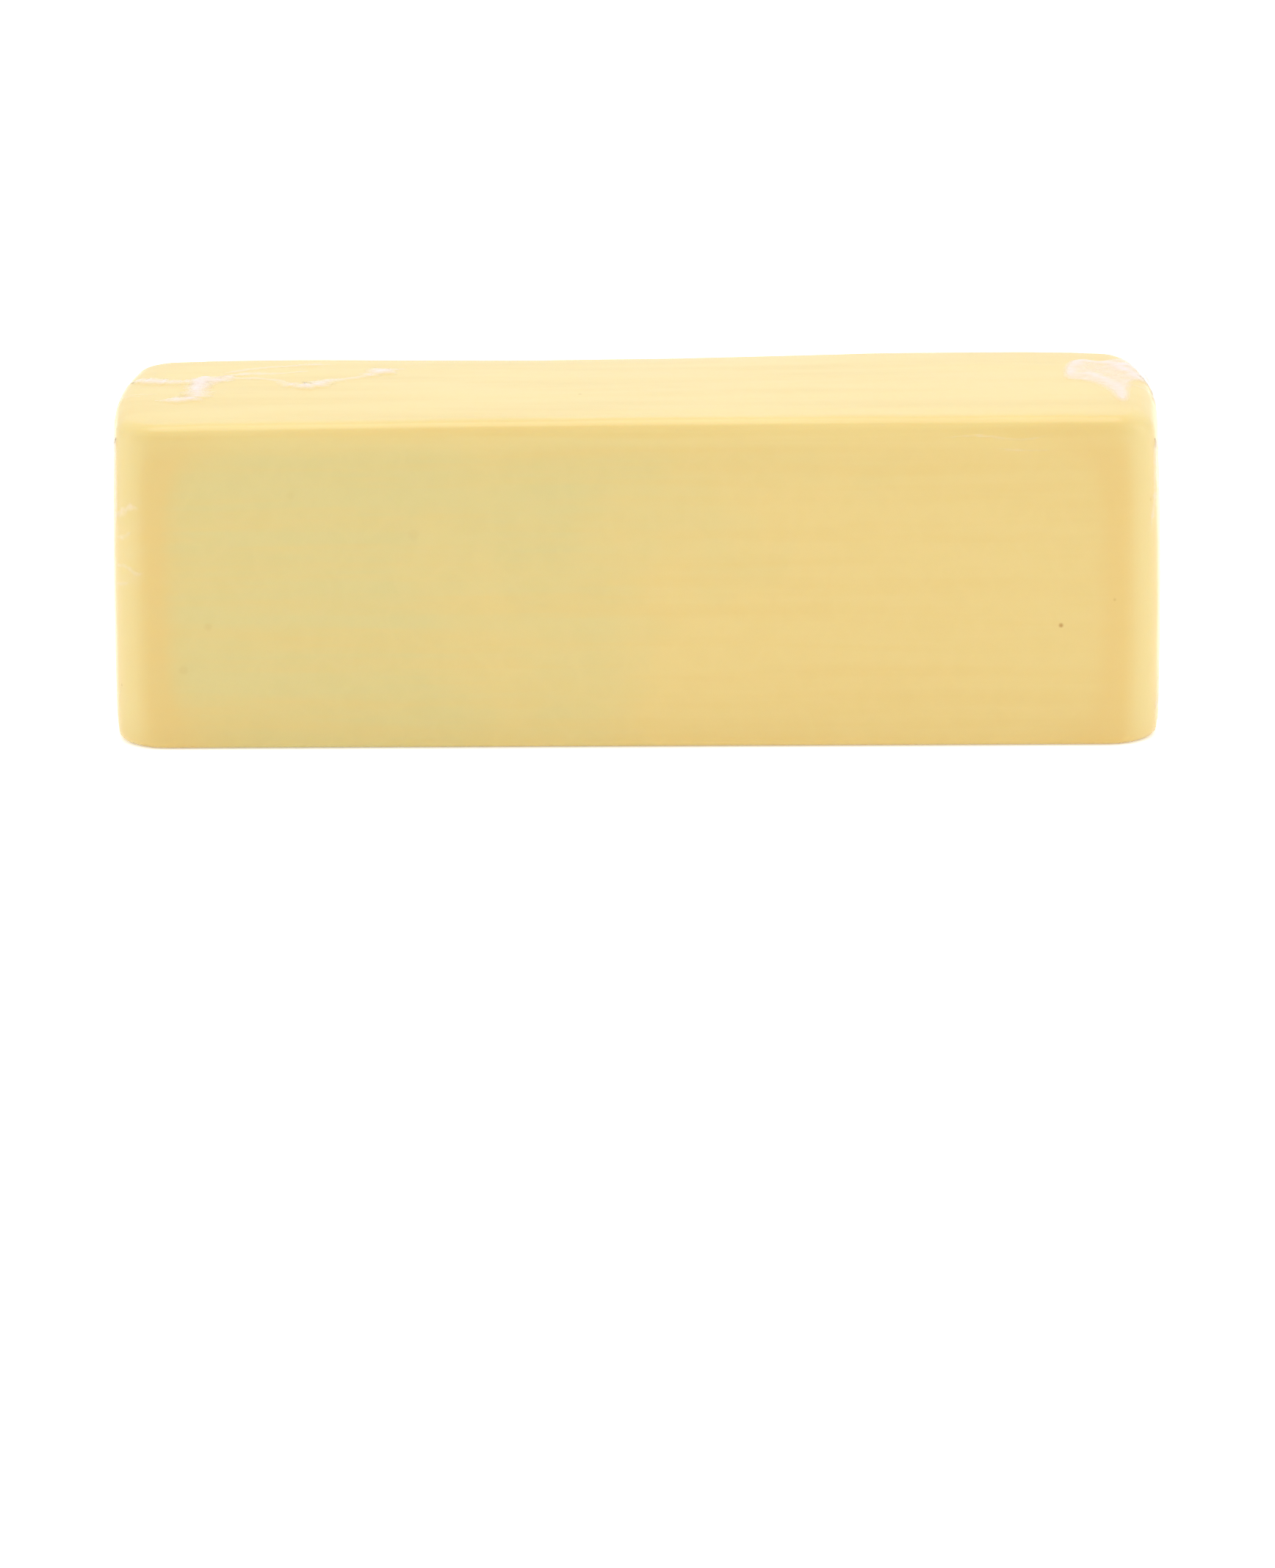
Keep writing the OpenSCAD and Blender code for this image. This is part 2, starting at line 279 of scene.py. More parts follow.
def make_cheddar():
    """Material: young cheddar, pressed and wire-cut, seen through tight film."""
    # pressed curd is dense and fatty: the eye sees a soft, slightly glowing yellow with hardly any grain
    material = bpy.data.materials.new("young cheddar under film")
    material.use_nodes = True
    tree = material.node_tree
    shader = tree.nodes["Principled BSDF"]
    place = add_node(tree, "ShaderNodeTexCoord").outputs["Object"]
    parts = add_node(tree, "ShaderNodeSeparateXYZ", inputs={0: place})
    along = parts.outputs["X"]
    drift = add_node(tree, "ShaderNodeTexNoise", inputs={
        "Vector": place, "Scale": 1 / DRIFT_SIZE, "Detail": 3.0, "Roughness": 0.6}).outputs["Fac"]
    # share of the painted light on the top, also used to keep the edges' painted shade off the top
    painted_top_light_share = add_node(tree, "ShaderNodeMapRange", {"interpolation_type": "SMOOTHSTEP"}, {
        "Value": parts.outputs["Z"],
        "From Min": PAINTED_TOP_LIGHT_SPAN[0], "From Max": PAINTED_TOP_LIGHT_SPAN[1], "To Max": 0.9}).outputs[0]

    colour = ripened_with_painted_top_light(tree, drift, along, painted_top_light_share)
    colour = streaked(tree, place, colour)
    colour = knitted(tree, place, colour)
    colour = painted_edge_shade_and_rim_light(tree, along, painted_top_light_share, colour)
    pit = pits(tree, place)
    # painted shade: the holes are mixed towards a dark brown
    pit_shaded = add_node(tree, "ShaderNodeMix", {"data_type": "RGBA"}, {
        0: pit, 6: colour, 7: linear("A87F40")})

    # a grain of about a millimetre and the pits dent the surface; the gloss drifts with the ripeness
    grain = add_node(tree, "ShaderNodeTexNoise", inputs={
        "Vector": place, "Scale": 1 / GRAIN_SIZE, "Detail": 3.0})
    dented = add_node(tree, "ShaderNodeMath", {"operation": "SUBTRACT"}, {
        0: grain.outputs["Fac"], 1: pit})
    relief = add_node(tree, "ShaderNodeBump", inputs={
        "Height": dented.outputs[0], "Strength": 0.25, "Distance": 0.1 * MM})
    gloss_drift = add_node(tree, "ShaderNodeMapRange", inputs={
        "Value": drift, "From Min": 0.3, "From Max": 0.7, "To Min": 0.5, "To Max": 0.6})
    for name, source in (
            ("Base Color", pit_shaded.outputs[2]), ("Roughness", gloss_drift.outputs[0]),
            ("Normal", relief.outputs[0])):
        tree.links.new(source, shader.inputs[name])
    for name, value in (
            ("Subsurface Weight", 0.35), ("Subsurface Scale", 3 * MM),
            ("Subsurface Radius", (1.0, 0.6, 0.25)),
            ("IOR", 1.46), ("Specular IOR Level", 0.1),
            ("Coat Weight", 0.6), ("Coat Roughness", 0.17), ("Coat IOR", 1.5)):
        shader.inputs[name].default_value = value
    return material


cheddar = make_cheddar()
print("made", cheddar.name)

# %% [markdown]
# ## The film's finish
# Shrink film is a few hundredths of a millimetre of clear polyethylene, blown and stretched. Where it
# lies tight it can hardly be seen. Where layers are gathered, each layer scatters a little light and the
# folds turn milky, so the film's Alpha follows an attribute called gather, which every film piece below
# carries on its own mesh: 0 where the film is tight and 1 where many layers lie together. The cheese
# shines through the layers and warms them, so the thin parts lean to cream and the thick ones to white.

# %% Film
CLOUD_SIZE = 4 * MM


def make_film():
    """Material: clear polyethylene shrink film, milky where layers gather."""
    # blown film is smooth but never flat: the eye sees a soft gloss and cloudy white where it is gathered
    material = bpy.data.materials.new("clear shrink film")
    material.use_nodes = True
    tree = material.node_tree
    shader = tree.nodes["Principled BSDF"]
    place = add_node(tree, "ShaderNodeTexCoord").outputs["Object"]
    gather = add_node(tree, "ShaderNodeAttribute", {"attribute_name": "gather"})
    cloud = add_node(tree, "ShaderNodeTexNoise", inputs={
        "Vector": place, "Scale": 1 / CLOUD_SIZE, "Detail": 3.0})
    cloud_share = add_node(tree, "ShaderNodeMapRange", inputs={
        "Value": cloud.outputs["Fac"], "From Min": 0.3, "From Max": 0.7, "To Min": 0.8, "To Max": 1.1})
    milky = add_node(tree, "ShaderNodeMath", {"operation": "MULTIPLY", "use_clamp": True}, {
        0: gather.outputs["Fac"], 1: cloud_share.outputs[0]})
    cover = add_node(tree, "ShaderNodeMapRange", inputs={
        "Value": milky.outputs[0], "To Min": 0.0, "To Max": 0.95})
    tint = add_node(tree, "ShaderNodeMix", {"data_type": "RGBA"}, {
        0: milky.outputs[0], 6: linear("E4D4C8"), 7: linear("DBCBCD")})
    tree.links.new(cover.outputs[0], shader.inputs["Alpha"])
    tree.links.new(tint.outputs[2], shader.inputs["Base Color"])
    for name, value in (("IOR", 1.6), ("Roughness", 0.25)):
        shader.inputs[name].default_value = value
    return material


film = make_film()
print("made", film.name)

# %% [markdown]
# ## The cheese
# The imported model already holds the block's true form: bulging ends, a settled base, a top that rises a
# little to the right. Its facets are too coarse to look at closely, so the cheese starts as a copy of
# that mesh, merged, rebuilt in even cells and smoothed. A Geometry Nodes tree then moves the surface by
# fractions of a millimetre along its normals, because a pressed block is never quite flat: broad
# hollows and swellings, and the long shallow marks that a cutting wire leaves. The base is left alone.

# %% Even cells over the block's form
CELL = 1.3 * MM
SMOOTHING = 6


def fine_copy(node):
    """A merged copy of a CAD node's mesh, rebuilt in even cells. The node itself isn't touched."""
    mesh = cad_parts[node].data.copy()
    shape = bmesh.new()
    shape.from_mesh(mesh)
    bmesh.ops.remove_doubles(shape, verts=shape.verts, dist=0.001 * MM)
    shape.to_mesh(mesh)
    shape.free()
    mesh.materials.clear()
    copy = bpy.data.objects.new("even cells", mesh)
    bpy.context.scene.collection.objects.link(copy)
    cells = copy.modifiers.new("even cells", "REMESH")
    cells.mode = "VOXEL"
    cells.voxel_size = CELL
    soft = copy.modifiers.new("soften facets", "SMOOTH")
    soft.factor = 0.5
    soft.iterations = SMOOTHING
    return copy


cells = fine_copy("cheese_block")
print("cells of", CELL / MM, "mm over the block")

# %% Press marks and swellings
# the film's thickness is the height of the cheese above the floor, because it rests on its film
RELIEF_SIZES = {
    "Swelling depth": 0.5 * MM, "Swelling size": 60 * MM,
    "Wire mark depth": 0.16 * MM, "Wire mark pitch": 6 * MM,
    "Base margin": 5 * MM, "Film thickness": 0.15 * MM, "Edge spread": 80, "Finish": cheddar,
}


def rest_on(tree, geometry, floor):
    """Nodes that lift whatever lies below a floor height up to it, so that a soft shape rests flat."""
    place = add_node(tree, "ShaderNodeSeparateXYZ", inputs={
        0: add_node(tree, "GeometryNodeInputPosition").outputs[0]})
    lifted = add_node(tree, "ShaderNodeMath", {"operation": "MAXIMUM"}, {0: place.outputs["Z"], 1: floor})
    level = add_node(tree, "ShaderNodeCombineXYZ", inputs={
        "X": place.outputs["X"], "Y": place.outputs["Y"], "Z": lifted.outputs[0]})
    return add_node(tree, "GeometryNodeSetPosition", inputs={
        "Geometry": geometry, "Position": level.outputs[0]}).outputs[0]


def edge_share(tree, normal, spread):
    """How far the surface leans away from the nearest of the three box directions, spread out a little."""
    lean = add_node(tree, "ShaderNodeVectorMath", {"operation": "ABSOLUTE"}, {0: normal})
    parts = add_node(tree, "ShaderNodeSeparateXYZ", inputs={0: lean.outputs[0]})
    wide = add_node(tree, "ShaderNodeMath", {"operation": "MAXIMUM"}, {
        0: parts.outputs["X"], 1: parts.outputs["Y"]})
    most = add_node(tree, "ShaderNodeMath", {"operation": "MAXIMUM"}, {
        0: wide.outputs[0], 1: parts.outputs["Z"]})
    turned = add_node(tree, "ShaderNodeMapRange", {"interpolation_type": "SMOOTHSTEP"}, {
        "Value": most.outputs[0], "From Min": 0.95, "From Max": 0.75})
    return add_node(tree, "GeometryNodeBlurAttribute", {"data_type": "FLOAT"}, {
        "Value": turned.outputs[0], "Iterations": spread}).outputs[0]


def make_relief_tree():
    """Tree: move a surface along its normals by swellings and wire marks, except at the base."""
    tree, sizes = new_tree("pressed and cut surface", RELIEF_SIZES)
    place = add_node(tree, "GeometryNodeInputPosition").outputs[0]
    normal = add_node(tree, "GeometryNodeInputNormal").outputs[0]
    swell_scale = add_node(tree, "ShaderNodeMath", {"operation": "DIVIDE"}, {
        0: 1.0, 1: sizes["Swelling size"]})
    swell = add_node(tree, "ShaderNodeTexNoise", inputs={
        "Vector": place, "Scale": swell_scale.outputs[0], "Detail": 2.0})
    swell_depth = add_node(tree, "ShaderNodeMapRange", {"clamp": False}, {
        "Value": swell.outputs["Fac"], "To Min": -0.5, "To Max": 0.5})
    swell_move = add_node(tree, "ShaderNodeMath", {"operation": "MULTIPLY"}, {
        0: swell_depth.outputs[0], 1: sizes["Swelling depth"]})
    stretched = add_node(tree, "ShaderNodeVectorMath", {"operation": "MULTIPLY"}, {
        0: place, 1: (0.06, 0.5, 1.0)})
    mark_scale = add_node(tree, "ShaderNodeMath", {"operation": "DIVIDE"}, {
        0: 1.0, 1: sizes["Wire mark pitch"]})
    mark = add_node(tree, "ShaderNodeTexNoise", inputs={
        "Vector": stretched.outputs[0], "Scale": mark_scale.outputs[0], "Detail": 1.0})
    mark_depth = add_node(tree, "ShaderNodeMapRange", {"clamp": False}, {
        "Value": mark.outputs["Fac"], "To Min": -0.5, "To Max": 0.5})
    move = add_node(tree, "ShaderNodeMath", {"operation": "MULTIPLY_ADD"}, {
        0: mark_depth.outputs[0], 1: sizes["Wire mark depth"], 2: swell_move.outputs[0]})
    height = add_node(tree, "ShaderNodeSeparateXYZ", inputs={0: place}).outputs["Z"]
    free = add_node(tree, "ShaderNodeMapRange", {"interpolation_type": "SMOOTHSTEP"}, {
        "Value": height, "From Min": 0.0, "From Max": sizes["Base margin"]})
    masked = add_node(tree, "ShaderNodeMath", {"operation": "MULTIPLY"}, {
        0: move.outputs[0], 1: free.outputs[0]})
    offset = add_node(tree, "ShaderNodeVectorMath", {"operation": "SCALE"}, {
        0: normal, "Scale": masked.outputs[0]})
    moved = add_node(tree, "GeometryNodeSetPosition", inputs={
        "Geometry": sizes["Geometry"], "Offset": offset.outputs[0]})
    marked = add_node(tree, "GeometryNodeStoreNamedAttribute", {"data_type": "FLOAT", "domain": "POINT"}, {
        "Geometry": moved.outputs[0], "Name": "edge",
        "Value": edge_share(tree, normal, sizes["Edge spread"])})
    finish_tree(tree, rest_on(tree, marked.outputs[0], sizes["Film thickness"]), sizes["Finish"])
    return tree


cheese = grow("cheese", cells, make_relief_tree(), RELIEF_SIZES)
drop(cells)

# %% [markdown]
# ## Laying lines on the block
# Pleats, seams and creases all run over the surface, so each is drawn as a few points in millimetres
# beside the block and dropped on to the nearest place of the cheese. A tree of the cheese's faces answers
# where that nearest place is and which way the surface looks there.

# %% Routes on the surface
def surface_of(piece):
    """A search tree over a piece's faces."""
    shape = bmesh.new()
    shape.from_mesh(piece.data)
    found = BVHTree.FromBMesh(shape)
    shape.free()
    return found


cheese_surface = surface_of(cheese)


def lay(name, routes):
    """A curve along routes of points in millimetres, laid on the cheese; a fourth value is its swell."""
    curve = bpy.data.curves.new(name, "CURVE")
    curve.dimensions = "3D"
    for route in routes:
        spline = curve.splines.new("BEZIER")
        spline.bezier_points.add(len(route) - 1)
        for point, spot in zip(spline.bezier_points, route):
            point.co = cheese_surface.find_nearest(Vector(spot[:3]) * MM)[0]
            point.radius = spot[3] if len(spot) > 3 else 1.0
            point.handle_left_type = point.handle_right_type = "AUTO"
    laid = bpy.data.objects.new(name, curve)
    bpy.context.scene.collection.objects.link(laid)
    return laid


LEFT, RIGHT = block_low.x / MM, block_high.x / MM
FRONT, BACK = block_low.y / MM, block_high.y / MM
TOP = block_high.z / MM
print("ends at", round(LEFT, 1), round(RIGHT, 1), "top at", round(TOP, 1))

# %% [markdown]
# ## The film's skin
# Over most of the block the film is stretched flat. Near the ends it had more width than it needed and
# shrank into fine creases that fan out from the corners and from the seams. The skin is the cheese's own
# surface moved out by a fraction of a millimetre. A tree measures how far each point lies from the
# nearest crease line and raises a soft ridge along it, uneven in height, and stores the same share as
# the gather attribute, so that the raised film is also the milky film.

# %% Crease lines
dice = np.random.default_rng(7)


def fan(start, aim, count, spread, reach):
    """Crease routes that fan out from a point; aim is their middle way and the axis they turn about."""
    routes = []
    for i in range(count):
        turn = math.radians(spread * (i / max(count - 1, 1) - 0.5) + dice.uniform(-12, 12))
        along = Matrix.Rotation(turn, 3, Vector(aim[3:])) @ Vector(aim[:3])
        length = reach * dice.uniform(0.4, 1.1)
        side = along.cross(Vector(aim[3:]))
        routes.append([
            tuple(Vector(start) + along * length * t + side * dice.uniform(-0.09, 0.09) * length * t)
            for t in (0.0, 0.3, 0.65, 1.0)])
    return routes


TOP_CREASES = [  # beside the pleat
    [(LEFT + 27, 14, TOP), (LEFT + 40, 22, TOP), (LEFT + 52, 31, TOP), (LEFT + 62, 40, TOP)],
    [(LEFT + 3, 3, TOP), (LEFT + 12, 2, TOP), (LEFT + 20, 6, TOP)],
    [(LEFT + 80, 33, TOP), (LEFT + 92, 38, TOP), (LEFT + 108, 42, TOP)]]
TUCKS = [  # round the upright edge at the front of the left end
    [(LEFT - 1, FRONT + 12, z), (LEFT + 2, FRONT + 3, z + 1.5), (LEFT + 9, FRONT - 1, z + 3.5)]
    for z in (45, 52, 59, 66)]
CORNER_FANS = [  # start, way and axis of the turn, number, spread in degrees, reach
    ((LEFT, BACK - 6, TOP - 6), (0.0, -0.6, -0.8, -1.0, 0.0, 0.0), 5, 80, 34),
    ((LEFT, FRONT + 8, TOP - 6), (0.0, 0.6, -0.8, -1.0, 0.0, 0.0), 4, 70, 26),
    ((RIGHT, BACK - 8, TOP - 6), (0.0, -0.6, -0.8, 1.0, 0.0, 0.0), 6, 80, 36),
    ((RIGHT, FRONT + 8, TOP - 8), (0.0, 0.6, -0.8, 1.0, 0.0, 0.0), 4, 70, 24),
    ((RIGHT, FRONT + 8, 8), (0.0, 0.7, 0.7, 1.0, 0.0, 0.0), 3, 60, 20),
    ((LEFT, BACK - 8, 8), (0.0, -0.7, 0.7, -1.0, 0.0, 0.0), 4, 70, 24),
    ((RIGHT - 8, BACK, TOP - 6), (-0.9, 0.0, -0.3, 0.0, 1.0, 0.0), 4, 60, 40),
    ((LEFT + 6, BACK, TOP - 8), (0.9, 0.0, -0.4, 0.0, 1.0, 0.0), 4, 60, 36)]
FANS = [route for corner in CORNER_FANS for route in fan(*corner)]
creases = lay("crease lines", TOP_CREASES + TUCKS + FANS)
print(len(TOP_CREASES), "creases,", len(TUCKS), "tucks and", len(FANS), "creases in fans laid")

# %% Skin of film
SKIN_SIZES = {
    "Stand off": 0.12 * MM, "Crease height": 0.35 * MM, "Crease width": 3.0 * MM,
    "Fine crease pitch": 5 * MM, "Haze": 0.08, "Creases": creases, "Finish": film,
}


def make_skin_tree():
    """Tree: move a surface out to a film's place, with ridges and the gather attribute along creases."""
    tree, sizes = new_tree("shrunk film", SKIN_SIZES)
    place = add_node(tree, "GeometryNodeInputPosition").outputs[0]
    normal = add_node(tree, "GeometryNodeInputNormal").outputs[0]
    lines = add_node(tree, "GeometryNodeObjectInfo", {"transform_space": "RELATIVE"}, {
        "Object": sizes["Creases"]})
    line_points = add_node(tree, "GeometryNodeResampleCurve", {"mode": "LENGTH"}, {
        "Curve": lines.outputs["Geometry"], "Length": 0.5 * MM})
    line_mesh = add_node(tree, "GeometryNodeCurveToMesh", inputs={"Curve": line_points.outputs[0]})
    near = add_node(tree, "GeometryNodeProximity", {"target_element": "EDGES"}, {
        "Geometry": line_mesh.outputs[0], "Sample Position": place})
    share = add_node(tree, "ShaderNodeMapRange", {"interpolation_type": "SMOOTHSTEP"}, {
        "Value": near.outputs["Distance"], "From Min": sizes["Crease width"], "From Max": 0.0})
    pitch = add_node(tree, "ShaderNodeMath", {"operation": "DIVIDE"}, {
        0: 1.0, 1: sizes["Fine crease pitch"]})
    uneven = add_node(tree, "ShaderNodeTexNoise", inputs={
        "Vector": place, "Scale": pitch.outputs[0], "Detail": 2.0})
    strength = add_node(tree, "ShaderNodeMapRange", inputs={
        "Value": uneven.outputs["Fac"], "From Min": 0.3, "From Max": 0.7, "To Min": 0.15, "To Max": 1.0})
    ridge = add_node(tree, "ShaderNodeMath", {"operation": "MULTIPLY"}, {
        0: share.outputs[0], 1: strength.outputs[0]})
    out = add_node(tree, "ShaderNodeMath", {"operation": "MULTIPLY_ADD"}, {
        0: ridge.outputs[0], 1: sizes["Crease height"], 2: sizes["Stand off"]})
    offset = add_node(tree, "ShaderNodeVectorMath", {"operation": "SCALE"}, {
        0: normal, "Scale": out.outputs[0]})
    moved = add_node(tree, "GeometryNodeSetPosition", inputs={
        "Geometry": sizes["Geometry"], "Offset": offset.outputs[0]})
    haze = add_node(tree, "ShaderNodeMath", {"operation": "MULTIPLY"}, {
        0: ridge.outputs[0], 1: sizes["Haze"]})
    stored = add_node(tree, "GeometryNodeStoreNamedAttribute", {"data_type": "FLOAT", "domain": "POINT"}, {
        "Geometry": moved.outputs[0], "Name": "gather", "Value": haze.outputs[0]})
    finish_tree(tree, rest_on(tree, stored.outputs[0], 0.0), sizes["Finish"])
    return tree


skin = grow("film_skin", cheese, make_skin_tree(), SKIN_SIZES)
drop(creases)
skin_surface = surface_of(skin)

# %% [markdown]
# ## Gathered film: the pleat and the end seams
# Along the pleat the spare film is pinched into a narrow ridge that wanders over the top; at each end
# the bag's seam is a flat welded fin that was pressed down by the shrinking. Both are the same thing to
# build: a thin closed section carried along a line that keeps to the surface. The tree resamples the
# line, drops every point on to the skin, turns the section to the skin's normal, and crinkles the
# result. Only the sizes differ, so one tree serves the pleat, the seams and the finest creases.

# %% Tree for gathered film
STRIP_SIZES = {
    "Width": 3.2 * MM, "Height": 0.45 * MM, "Crinkle pitch": 2.0 * MM, "Crinkle depth": 0.2 * MM,
    "Wander": 0.5 * MM, "Gather": 0.6, "Skin": skin, "Finish": film,
}


def make_strip_tree():
    """Tree: carry a thin section along curves that are kept on the skin, and crinkle it."""
    tree, sizes = new_tree("gathered film", STRIP_SIZES)
    place = add_node(tree, "GeometryNodeInputPosition").outputs[0]
    pitch = add_node(tree, "ShaderNodeMath", {"operation": "DIVIDE"}, {0: 1.0, 1: sizes["Crinkle pitch"]})
    noise = add_node(tree, "ShaderNodeTexNoise", inputs={
        "Vector": place, "Scale": pitch.outputs[0], "Detail": 2.0})
    centred = add_node(tree, "ShaderNodeVectorMath", {"operation": "SUBTRACT"}, {
        0: noise.outputs["Color"], 1: (0.5, 0.5, 0.5)})
    ground = add_node(tree, "GeometryNodeObjectInfo", {"transform_space": "RELATIVE"}, {
        "Object": sizes["Skin"]}).outputs["Geometry"]
    line = add_node(tree, "GeometryNodeResampleCurve", {"mode": "LENGTH"}, {
        "Curve": sizes["Geometry"], "Length": 0.4 * MM})
    stray = add_node(tree, "ShaderNodeVectorMath", {"operation": "SCALE"}, {
        0: centred.outputs[0], "Scale": sizes["Wander"]})
    strayed = add_node(tree, "GeometryNodeSetPosition", inputs={
        "Geometry": line.outputs[0], "Offset": stray.outputs[0]})
    nearest = add_node(tree, "GeometryNodeProximity", {"target_element": "FACES"}, {
        "Geometry": ground, "Sample Position": place})
    laid = add_node(tree, "GeometryNodeSetPosition", inputs={
        "Geometry": strayed.outputs[0], "Position": nearest.outputs["Position"]})
    way_out = add_node(tree, "GeometryNodeSampleNearestSurface", {"data_type": "FLOAT_VECTOR"}, {
        "Mesh": ground, "Value": add_node(tree, "GeometryNodeInputNormal").outputs[0],
        "Sample Position": place})
    turned = add_node(tree, "GeometryNodeSetCurveNormal", {"mode": "FREE"}, {
        "Curve": laid.outputs[0], "Normal": way_out.outputs[0]})
    share = add_node(tree, "GeometryNodeSplineParameter").outputs["Factor"]
    from_middle = add_node(tree, "ShaderNodeMath", {"operation": "PINGPONG"}, {0: share, 1: 0.5})
    ends = add_node(tree, "ShaderNodeMapRange", {"interpolation_type": "SMOOTHSTEP"}, {
        "Value": from_middle.outputs[0], "From Max": 0.12, "To Min": 0.3})
    lively = add_node(tree, "ShaderNodeMapRange", inputs={
        "Value": noise.outputs["Fac"], "From Min": 0.3, "From Max": 0.7, "To Min": 0.65, "To Max": 1.3})
    uneven = add_node(tree, "ShaderNodeMath", {"operation": "MULTIPLY"}, {
        0: ends.outputs[0], 1: lively.outputs[0]})
    girth = add_node(tree, "ShaderNodeMath", {"operation": "MULTIPLY"}, {
        0: uneven.outputs[0], 1: add_node(tree, "GeometryNodeInputRadius").outputs[0]})
    sized = add_node(tree, "GeometryNodeStoreNamedAttribute", {"data_type": "FLOAT", "domain": "POINT"}, {
        "Geometry": turned.outputs[0], "Name": "swell", "Value": girth.outputs[0]})
    swell = add_node(tree, "GeometryNodeInputNamedAttribute", {"data_type": "FLOAT"}, {
        "Name": "swell"}).outputs[0]
    ring = add_node(tree, "GeometryNodeCurvePrimitiveCircle", {"mode": "RADIUS"}, {
        "Resolution": 10, "Radius": 0.5})
    section_scale = add_node(tree, "ShaderNodeCombineXYZ", inputs={
        "X": sizes["Height"], "Y": sizes["Width"], "Z": 1.0})
    section = add_node(tree, "GeometryNodeTransform", inputs={
        "Geometry": ring.outputs[0], "Scale": section_scale.outputs[0]})
    swept = add_node(tree, "GeometryNodeCurveToMesh", inputs={
        "Curve": sized.outputs[0], "Profile Curve": section.outputs[0], "Scale": swell,
        "Fill Caps": True})
    fine = add_node(tree, "ShaderNodeVectorMath", {"operation": "SCALE"}, {
        0: centred.outputs[0], "Scale": sizes["Crinkle depth"]})
    crinkled = add_node(tree, "GeometryNodeSetPosition", inputs={
        "Geometry": swept.outputs[0], "Offset": fine.outputs[0]})
    # the film is thickest along the middle of the strip and thins out to its sides
    middle = add_node(tree, "GeometryNodeProximity", {"target_element": "EDGES"}, {
        "Geometry": add_node(tree, "GeometryNodeCurveToMesh", inputs={"Curve": laid.outputs[0]}).outputs[0],
        "Sample Position": place})
    full = add_node(tree, "ShaderNodeMath", {"operation": "MULTIPLY"}, {0: sizes["Width"], 1: swell})
    half = add_node(tree, "ShaderNodeMath", {"operation": "MULTIPLY"}, {0: full.outputs[0], 1: 0.55})
    thick = add_node(tree, "ShaderNodeMapRange", {"interpolation_type": "SMOOTHSTEP"}, {
        "Value": middle.outputs["Distance"], "From Min": half.outputs[0], "From Max": 0.0, "To Min": 0.0})
    layers = add_node(tree, "ShaderNodeMath", {"operation": "MULTIPLY", "use_clamp": True}, {
        0: sizes["Gather"], 1: swell})
    share_here = add_node(tree, "ShaderNodeMath", {"operation": "MULTIPLY"}, {
        0: thick.outputs[0], 1: layers.outputs[0]})
    stored = add_node(tree, "GeometryNodeStoreNamedAttribute", {"data_type": "FLOAT", "domain": "POINT"}, {
        "Geometry": crinkled.outputs[0], "Name": "gather", "Value": share_here.outputs[0]})
    finish_tree(tree, stored.outputs[0], sizes["Finish"])
    return tree


gathered = make_strip_tree()
print("a tree of", len(gathered.nodes), "nodes")

# %% The pleat at the left end
PLEAT_ROUTES = [
    [(-141.5, 13.5, TOP, 1.4), (-136, 12.0, TOP, 2.2), (-130, 10.0, TOP, 2.0), (-124, 10.0, TOP, 1.8),
     (-119, 12.5, TOP, 1.6)],
    [(-131.5, -13.5, TOP, 1.4), (-126, -13.5, TOP, 2.0), (-121.5, -11.5, TOP, 2.0), (-120.5, -4, TOP, 2.0),
     (-121, 3, TOP, 1.9), (-119, 10, TOP, 1.5)],
    [(-119, 10, TOP, 1.4), (-114, 13.5, TOP, 1.4), (-109, 13.5, TOP, 0.9), (-101, 11.5, TOP, 0.7),
     (-95, 4, TOP, 1.8), (-90, 3, TOP, 2.6), (-86, 8, TOP, 1.7), (-80, 12, TOP, 0.8), (-76, 15, TOP, 1.0),
     (-72, 21, TOP, 2.6), (-69, 24, TOP, 2.4), (-65, 26, TOP, 1.4)],
    [(-116, 20, TOP, 0.6), (-108, 26, TOP, 0.9), (-98, 30, TOP, 0.8), (-84, 33, TOP, 0.5)],
    [(-117, 16, TOP, 0.6), (-109, 19, TOP, 0.9), (-99, 20, TOP, 0.7), (-90, 24, TOP, 0.4)],
]
PLEAT_SIZES = {
    **STRIP_SIZES, "Width": 4.2 * MM, "Height": 0.3 * MM, "Gather": 0.36, "Crinkle depth": 0.08 * MM}
pleat_lines = lay("pleat lines", PLEAT_ROUTES)
pleat = grow("film_pleat_folds", pleat_lines, gathered, PLEAT_SIZES)
drop(pleat_lines)

# %% [markdown]
# ## Seams at the ends
# Each end of the bag is closed by a straight weld. The weld is a narrow milky band with a strip of
# double film on both sides, and when the bag shrank it was pulled flat against the end of the block.
# The same tree makes them, once wide and thin for the double film and once narrow for the weld itself.
# Very narrow strips of the same kind are the finest creases, which run out from the weld, from the
# corners and round the edges.

# %% End seams
def seam_route(end, side, sway):
    """A route down an end face from the top edge to near the base."""
    x = end + side * 2
    return [(end - side * 5, 13, TOP), (x, 12.5 + sway, TOP - 12), (x, 11.5 - sway, TOP - 34),
            (x, 10.5 + sway, TOP - 58), (x, 10, 7)]


